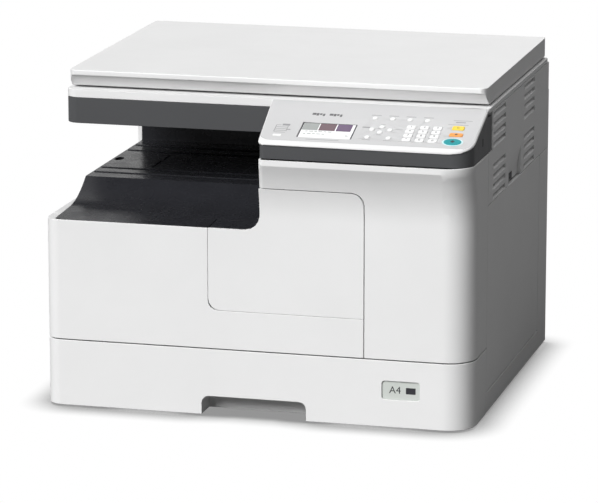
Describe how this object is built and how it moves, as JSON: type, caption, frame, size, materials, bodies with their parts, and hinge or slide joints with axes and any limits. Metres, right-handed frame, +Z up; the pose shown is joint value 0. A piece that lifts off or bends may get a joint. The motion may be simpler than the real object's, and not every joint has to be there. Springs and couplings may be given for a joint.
{
  "type": "photocopier",
  "caption": "Desktop photocopier: flatbed scanner under a hinged lid, sloped key panel, output tray inside the body, paper drawer below, hinged toner cover and louvred side with a door.",
  "frame": {"origin": "on the floor, below the middle of the whole machine", "axes": "+X to the machine's right, +Y to its back, +Z up"},
  "size_m": [0.579, 0.529, 0.441],
  "materials": {
    "white_plastic": "satin moulded plastic",
    "pad_white": "soft white sheet on foam",
    "dark_plastic": "satin moulded plastic",
    "tray_plastic": "smooth dark plastic",
    "black_plastic": "matt",
    "pale_plastic": "satin moulded plastic",
    "sheet_steel": "zinc plated sheet",
    "platen_glass": "polished",
    "screen": "clear window over a display",
    "drum_coating": "coated tube",
    "fuser_coating": "coated tube",
    "roller_rubber": "matt",
    "key_white": "satin",
    "key_yellow": "satin",
    "key_orange": "satin",
    "key_green": "gloss"
  },
  "bodies": {
    "machine": {"base_pan": "sheet_steel", "base_rail": "white_plastic", "engine_frame": "sheet_steel", "front_left_cover": "white_plastic", "front_right_cover": "white_plastic", "lcd_display": "screen", "left_cover": "white_plastic", "lid_hinge_left": "sheet_steel", "lid_hinge_right": "sheet_steel", "output_tray": "tray_plastic", "panel_band": "dark_plastic", "panel_cover": "white_plastic", "platen_glass": "platen_glass", "power_inlet": "black_plastic", "rear_cover": "white_plastic", "right_cover": "white_plastic", "scanner_base": "white_plastic", "scanner_bezel": "dark_plastic", "scanner_top": "white_plastic", "toner_cartridge": "dark_plastic"},
    "lid": {"lid_cover": "white_plastic", "platen_pad": "pad_white"},
    "toner_cover": {"toner_cover": "white_plastic"},
    "side_door": {"side_door": "white_plastic"},
    "drawer": {"drawer_front": "white_plastic", "drawer_bin": "pale_plastic"},
    "width_guide_front": {"width_guide_front": "pale_plastic"},
    "width_guide_rear": {"width_guide_rear": "pale_plastic"},
    "end_guide": {"end_guide": "pale_plastic"},
    "lift_plate": {"lift_plate": "sheet_steel"},
    "scan_carriage": {"scan_carriage": "black_plastic"},
    "drum": {"drum": "drum_coating"},
    "fuser_roller": {"fuser_roller": "fuser_coating"},
    "feed_roller": {"feed_roller": "roller_rubber"},
    "transfer_roller": {"transfer_roller": "roller_rubber"},
    "function_key_1": {"function_key_1": "key_white"},
    "function_key_2": {"function_key_2": "key_white"},
    "function_key_3": {"function_key_3": "key_white"},
    "function_key_4": {"function_key_4": "key_white"},
    "cursor_key_up": {"cursor_key_up": "key_white"},
    "cursor_key_left": {"cursor_key_left": "key_white"},
    "cursor_key_right": {"cursor_key_right": "key_white"},
    "cursor_key_down": {"cursor_key_down": "key_white"},
    "mode_key_1": {"mode_key_1": "key_white"},
    "mode_key_2": {"mode_key_2": "key_white"},
    "number_key_1": {"number_key_1": "key_white"},
    "number_key_2": {"number_key_2": "key_white"},
    "number_key_3": {"number_key_3": "key_white"},
    "number_key_4": {"number_key_4": "key_white"},
    "number_key_5": {"number_key_5": "key_white"},
    "number_key_6": {"number_key_6": "key_white"},
    "number_key_7": {"number_key_7": "key_white"},
    "number_key_8": {"number_key_8": "key_white"},
    "number_key_9": {"number_key_9": "key_white"},
    "number_key_star": {"number_key_star": "key_white"},
    "number_key_0": {"number_key_0": "key_white"},
    "number_key_hash": {"number_key_hash": "key_white"},
    "clear_key": {"clear_key": "key_yellow"},
    "stop_key": {"stop_key": "key_orange"},
    "start_key": {"start_key": "key_green"}
  },
  "joints": [
    {"name": "lid_hinge", "type": "hinge", "parent": "machine", "child": "lid", "pos_m": [0, 0.2555, 0.427], "axis": [-1, 0, 0], "range_deg": [0, 75]},
    {"name": "toner_cover_hinge", "type": "hinge", "parent": "machine", "child": "toner_cover", "pos_m": [0.0405, -0.2435, 0.1475], "axis": [1, 0, 0], "range_deg": [0, 85]},
    {"name": "side_door_hinge", "type": "hinge", "parent": "machine", "child": "side_door", "pos_m": [0.287, 0.0383, 0.035], "axis": [0, 1, 0], "range_deg": [0, 80]},
    {"name": "drawer_slide", "type": "slide", "parent": "machine", "child": "drawer", "axis": [0, -1, 0], "range_m": [0, 0.38]},
    {"name": "front_guide_slide", "type": "slide", "parent": "drawer", "child": "width_guide_front", "axis": [0, 1, 0], "range_m": [0, 0.07]},
    {"name": "rear_guide_slide", "type": "slide", "parent": "drawer", "child": "width_guide_rear", "axis": [0, -1, 0], "range_m": [0, 0.07]},
    {"name": "end_guide_slide", "type": "slide", "parent": "drawer", "child": "end_guide", "axis": [1, 0, 0], "range_m": [0, 0.15]},
    {"name": "lift_plate_hinge", "type": "hinge", "parent": "drawer", "child": "lift_plate", "pos_m": [0.0155, 0.0185, 0.0101], "axis": [0, -1, 0], "range_deg": [0, 18]},
    {"name": "carriage_slide", "type": "slide", "parent": "machine", "child": "scan_carriage", "axis": [1, 0, 0], "range_m": [0, 0.43]},
    {"name": "drum_spin", "type": "hinge", "parent": "machine", "child": "drum", "pos_m": [0.2145, 0.003, 0.173], "axis": [0, -1, 0], "continuous": true},
    {"name": "fuser_spin", "type": "hinge", "parent": "machine", "child": "fuser_roller", "pos_m": [0.2345, 0.003, 0.248], "axis": [0, -1, 0], "continuous": true},
    {"name": "feed_spin", "type": "hinge", "parent": "machine", "child": "feed_roller", "pos_m": [0.2145, 0.01535, 0.1008], "axis": [0, -1, 0], "continuous": true},
    {"name": "transfer_spin", "type": "hinge", "parent": "side_door", "child": "transfer_roller", "pos_m": [0.2384, 0.0255, 0.173], "axis": [0, -1, 0], "continuous": true},
    {"name": "function_key_1_press", "type": "slide", "parent": "machine", "child": "function_key_1", "axis": [0, 0.3177, -0.9482], "range_m": [0, 0.0012], "stiffness_N_per_m": 100},
    {"name": "function_key_2_press", "type": "slide", "parent": "machine", "child": "function_key_2", "axis": [0, 0.3177, -0.9482], "range_m": [0, 0.0012], "stiffness_N_per_m": 100},
    {"name": "function_key_3_press", "type": "slide", "parent": "machine", "child": "function_key_3", "axis": [0, 0.3177, -0.9482], "range_m": [0, 0.0012], "stiffness_N_per_m": 100},
    {"name": "function_key_4_press", "type": "slide", "parent": "machine", "child": "function_key_4", "axis": [0, 0.3177, -0.9482], "range_m": [0, 0.0012], "stiffness_N_per_m": 100},
    {"name": "cursor_key_up_press", "type": "slide", "parent": "machine", "child": "cursor_key_up", "axis": [0, 0.3177, -0.9482], "range_m": [0, 0.0012], "stiffness_N_per_m": 100},
    {"name": "cursor_key_left_press", "type": "slide", "parent": "machine", "child": "cursor_key_left", "axis": [0, 0.3177, -0.9482], "range_m": [0, 0.0012], "stiffness_N_per_m": 100},
    {"name": "cursor_key_right_press", "type": "slide", "parent": "machine", "child": "cursor_key_right", "axis": [0, 0.3177, -0.9482], "range_m": [0, 0.0012], "stiffness_N_per_m": 100},
    {"name": "cursor_key_down_press", "type": "slide", "parent": "machine", "child": "cursor_key_down", "axis": [0, 0.3177, -0.9482], "range_m": [0, 0.0012], "stiffness_N_per_m": 100},
    {"name": "mode_key_1_press", "type": "slide", "parent": "machine", "child": "mode_key_1", "axis": [0, 0.3177, -0.9482], "range_m": [0, 0.0012], "stiffness_N_per_m": 100},
    {"name": "mode_key_2_press", "type": "slide", "parent": "machine", "child": "mode_key_2", "axis": [0, 0.3177, -0.9482], "range_m": [0, 0.0012], "stiffness_N_per_m": 100},
    {"name": "number_key_1_press", "type": "slide", "parent": "machine", "child": "number_key_1", "axis": [0, 0.3177, -0.9482], "range_m": [0, 0.0012], "stiffness_N_per_m": 100},
    {"name": "number_key_2_press", "type": "slide", "parent": "machine", "child": "number_key_2", "axis": [0, 0.3177, -0.9482], "range_m": [0, 0.0012], "stiffness_N_per_m": 100},
    {"name": "number_key_3_press", "type": "slide", "parent": "machine", "child": "number_key_3", "axis": [0, 0.3177, -0.9482], "range_m": [0, 0.0012], "stiffness_N_per_m": 100},
    {"name": "number_key_4_press", "type": "slide", "parent": "machine", "child": "number_key_4", "axis": [0, 0.3177, -0.9482], "range_m": [0, 0.0012], "stiffness_N_per_m": 100},
    {"name": "number_key_5_press", "type": "slide", "parent": "machine", "child": "number_key_5", "axis": [0, 0.3177, -0.9482], "range_m": [0, 0.0012], "stiffness_N_per_m": 100},
    {"name": "number_key_6_press", "type": "slide", "parent": "machine", "child": "number_key_6", "axis": [0, 0.3177, -0.9482], "range_m": [0, 0.0012], "stiffness_N_per_m": 100},
    {"name": "number_key_7_press", "type": "slide", "parent": "machine", "child": "number_key_7", "axis": [0, 0.3177, -0.9482], "range_m": [0, 0.0012], "stiffness_N_per_m": 100},
    {"name": "number_key_8_press", "type": "slide", "parent": "machine", "child": "number_key_8", "axis": [0, 0.3177, -0.9482], "range_m": [0, 0.0012], "stiffness_N_per_m": 100},
    {"name": "number_key_9_press", "type": "slide", "parent": "machine", "child": "number_key_9", "axis": [0, 0.3177, -0.9482], "range_m": [0, 0.0012], "stiffness_N_per_m": 100},
    {"name": "number_key_star_press", "type": "slide", "parent": "machine", "child": "number_key_star", "axis": [0, 0.3177, -0.9482], "range_m": [0, 0.0012], "stiffness_N_per_m": 100},
    {"name": "number_key_0_press", "type": "slide", "parent": "machine", "child": "number_key_0", "axis": [0, 0.3177, -0.9482], "range_m": [0, 0.0012], "stiffness_N_per_m": 100},
    {"name": "number_key_hash_press", "type": "slide", "parent": "machine", "child": "number_key_hash", "axis": [0, 0.3177, -0.9482], "range_m": [0, 0.0012], "stiffness_N_per_m": 100},
    {"name": "clear_key_press", "type": "slide", "parent": "machine", "child": "clear_key", "axis": [0, 0.3177, -0.9482], "range_m": [0, 0.0012], "stiffness_N_per_m": 100},
    {"name": "stop_key_press", "type": "slide", "parent": "machine", "child": "stop_key", "axis": [0, 0.3177, -0.9482], "range_m": [0, 0.0012], "stiffness_N_per_m": 100},
    {"name": "start_key_press", "type": "slide", "parent": "machine", "child": "start_key", "axis": [0, 0.3177, -0.9482], "range_m": [0, 0.0012], "stiffness_N_per_m": 100}
  ],
  "couplings": [
    {"joint": "rear_guide_slide", "follows": "front_guide_slide", "ratio": 1},
    {"joint": "fuser_spin", "follows": "drum_spin", "ratio": 1.1539},
    {"joint": "feed_spin", "follows": "drum_spin", "ratio": 1.5},
    {"joint": "transfer_spin", "follows": "drum_spin", "ratio": -1.7647}
  ]
}
